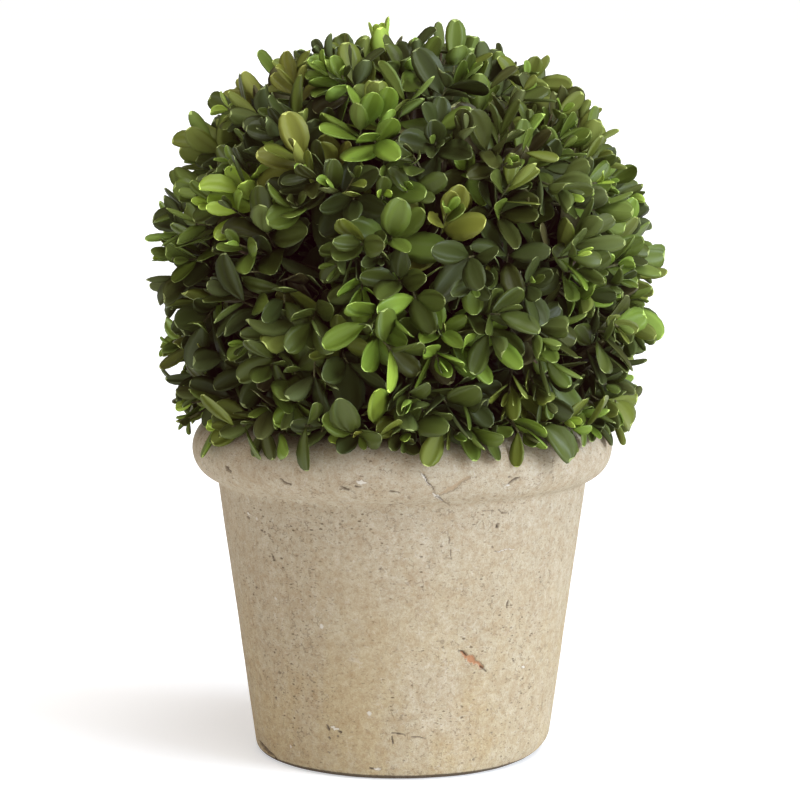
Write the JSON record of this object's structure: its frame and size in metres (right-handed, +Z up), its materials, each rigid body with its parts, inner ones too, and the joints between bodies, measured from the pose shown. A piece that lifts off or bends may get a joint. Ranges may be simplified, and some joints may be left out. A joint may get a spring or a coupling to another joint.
{
  "type": "box topiary ball in pot",
  "caption": "Small-leaved evergreen clipped into a ball on a short stem, growing in a tapered clay pot with a thick rolled rim.",
  "frame": {"origin": "centre of the pot's flat underside, where the pot stands", "axes": "+Z up along the pot's axis, -Y towards the plant's front, +X to the right seen from the front"},
  "size_m": [0.2484, 0.2509, 0.3495],
  "materials": {
    "clay": "matte",
    "potting_mix": "matte",
    "bark": "matte",
    "leaves": "satin"
  },
  "bodies": {
    "root": {"pot": "clay", "soil": "potting_mix", "stem": "bark", "foliage_ball": "leaves"}
  },
  "joints": []
}
